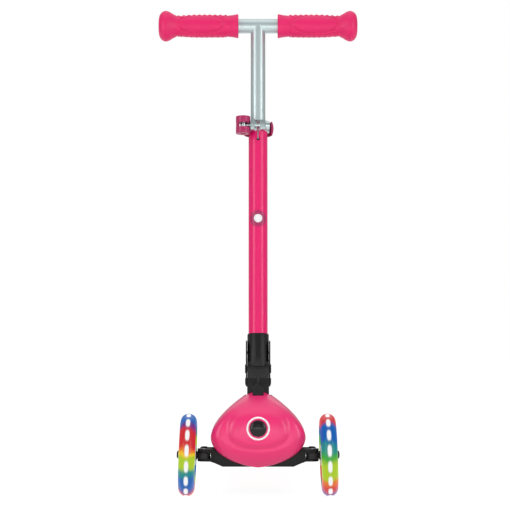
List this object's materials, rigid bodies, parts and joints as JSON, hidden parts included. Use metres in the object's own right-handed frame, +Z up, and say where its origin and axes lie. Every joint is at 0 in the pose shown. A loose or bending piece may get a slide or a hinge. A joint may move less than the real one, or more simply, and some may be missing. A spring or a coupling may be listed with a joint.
{
  "type": "kick scooter",
  "caption": "Child's three-wheeled kick scooter with a lean-to-steer folding T-bar, telescopic stem, rounded nose with a steering lock button, flat deck and foot brake.",
  "frame": {"origin": "on the ground, under the centre of the bounding box", "axes": "+Z up, the scooter rides towards -Y, +X is the rider's left"},
  "size_m": [0.304, 0.5525, 0.7275],
  "materials": {
    "pink_cover": "smooth moulded, satin gloss",
    "pink_paint": "gloss powder coat",
    "dark_pink": "fine satin",
    "grip_rubber": "soft matt rubber with small nubs",
    "black_plastic": "fine spark-eroded grain",
    "black_metal": "satin powder coat",
    "silver_metal": "satin anodised",
    "steel": "zinc plated",
    "white_plastic": "smooth",
    "mat_rubber": "matt, ribbed",
    "glow_tyre": "clear cast polyurethane, lit from inside in changing colours",
    "lamp": "emissive lenses",
    "rear_tyre": "milky cast polyurethane"
  },
  "bodies": {
    "chassis": {"deck_board": "pink_cover", "deck_mat": "mat_rubber", "front_beam": "black_metal", "column_mount": "black_plastic", "nose_cover": "pink_cover", "neck_cover": "pink_cover", "button_ring": "white_plastic", "lean_shaft": "steel", "king_pins": "steel", "deck_screws": "steel", "rear_fork": "black_metal", "rear_axle": "steel", "brake_pin": "steel", "brake_spring": "steel", "button_spring": "steel", "centring_bumpers": "black_plastic"},
    "steering_block": {"lean_block": "black_metal", "steering_lever": "steel", "hinge_plate_left": "black_metal", "hinge_plate_right": "black_metal", "hinge_bolts": "steel", "lean_bushes": "white_plastic"},
    "stem": {"bar_sleeve": "black_plastic", "outer_tube": "pink_paint", "shim_bush": "black_plastic", "clamp_collar": "silver_metal", "clamp_bolt": "silver_metal", "guide_cap": "white_plastic", "guide_ring": "dark_pink", "fold_spring": "steel"},
    "fold_lock": {"fold_lock_pin": "steel", "fold_slider": "dark_pink"},
    "clamp_handle": {"clamp_lever": "dark_pink"},
    "handlebar": {"stem_tube": "silver_metal", "crossbar": "silver_metal", "grip_left": "grip_rubber", "grip_right": "grip_rubber", "stem_plug": "black_plastic"},
    "track_rod": {"tie_rod": "black_metal"},
    "left_knuckle": {"knuckle_left": "black_metal", "axle_nut_left": "black_metal", "magnet_left": "steel"},
    "right_knuckle": {"knuckle_right": "black_metal", "axle_nut_right": "black_metal", "magnet_right": "steel"},
    "left_wheel": {"front_tyre_left": "glow_tyre", "front_rim_left": "white_plastic", "light_ring_left": "lamp", "front_bearings_left": "steel"},
    "right_wheel": {"front_tyre_right": "glow_tyre", "front_rim_right": "white_plastic", "light_ring_right": "lamp", "front_bearings_right": "steel"},
    "back_wheel": {"rear_tyre": "rear_tyre", "rear_rim": "white_plastic", "rear_bearings": "steel"},
    "steering_lock": {"lock_button": "black_plastic", "lock_plunger": "steel"},
    "foot_brake": {"brake_fender": "black_plastic", "brake_pad": "steel"}
  },
  "joints": [
    {"name": "lean", "type": "hinge", "parent": "chassis", "child": "steering_block", "pos_m": [0, -0.17775, 0.155], "axis": [0, 1, 0], "range_deg": [-8.3, 8.3], "stiffness_Nm_per_rad": 16, "deforming": ["centring_bumpers"]},
    {"name": "tie_rod_slide", "type": "slide", "parent": "chassis", "child": "track_rod", "axis": [1, 0, 0], "range_m": [-0.0106, 0.0106]},
    {"name": "steer_left", "type": "hinge", "parent": "chassis", "child": "left_knuckle", "pos_m": [0.08, -0.21575, 0.05965], "axis": [0, 0, 1], "range_deg": [-15.2, 15.2]},
    {"name": "steer_right", "type": "hinge", "parent": "chassis", "child": "right_knuckle", "pos_m": [-0.08, -0.21575, 0.05965], "axis": [0, 0, 1], "range_deg": [-15.2, 15.2]},
    {"name": "left_wheel_spin", "type": "hinge", "parent": "left_knuckle", "child": "left_wheel", "pos_m": [0.1035, -0.21575, 0.06047], "axis": [0.9994, 0, 0.0349], "continuous": true},
    {"name": "right_wheel_spin", "type": "hinge", "parent": "right_knuckle", "child": "right_wheel", "pos_m": [-0.1035, -0.21575, 0.06047], "axis": [0.9994, 0, -0.0349], "continuous": true},
    {"name": "back_wheel_spin", "type": "hinge", "parent": "chassis", "child": "back_wheel", "pos_m": [0, 0.23625, 0.04], "axis": [1, 0, 0], "continuous": true},
    {"name": "steering_lock_press", "type": "slide", "parent": "chassis", "child": "steering_lock", "axis": [0, 1, 0], "range_m": [0, 0.0055], "stiffness_N_per_m": 300, "springref_m": -0.004, "deforming": ["button_spring"]},
    {"name": "fold", "type": "hinge", "parent": "steering_block", "child": "stem", "pos_m": [0, -0.17306, 0.18463], "axis": [-1, 0, 0], "range_deg": [0, 84]},
    {"name": "fold_release", "type": "slide", "parent": "stem", "child": "fold_lock", "axis": [0, 0.1564, 0.9877], "range_m": [-0.006, 0], "deforming": ["fold_spring"]},
    {"name": "clamp_swing", "type": "hinge", "parent": "stem", "child": "clamp_handle", "pos_m": [-0.0225, -0.13548, 0.54972], "axis": [0, 0.1564, 0.9877], "range_deg": [0, 110]},
    {"name": "height_slide", "type": "slide", "parent": "stem", "child": "handlebar", "axis": [0, 0.1564, 0.9877], "range_m": [-0.045, 0.1]},
    {"name": "brake_press", "type": "hinge", "parent": "chassis", "child": "foot_brake", "pos_m": [0, 0.18925, 0.062], "axis": [-1, 0, 0], "range_deg": [0, 5.6], "stiffness_Nm_per_rad": 0.8, "springref_deg": -11.46, "deforming": ["brake_spring"]}
  ],
  "couplings": [
    {"joint": "tie_rod_slide", "follows": "lean", "m_per_rad": -0.0718},
    {"joint": "steer_left", "follows": "lean", "ratio": 1.805},
    {"joint": "steer_right", "follows": "lean", "ratio": 1.805}
  ]
}
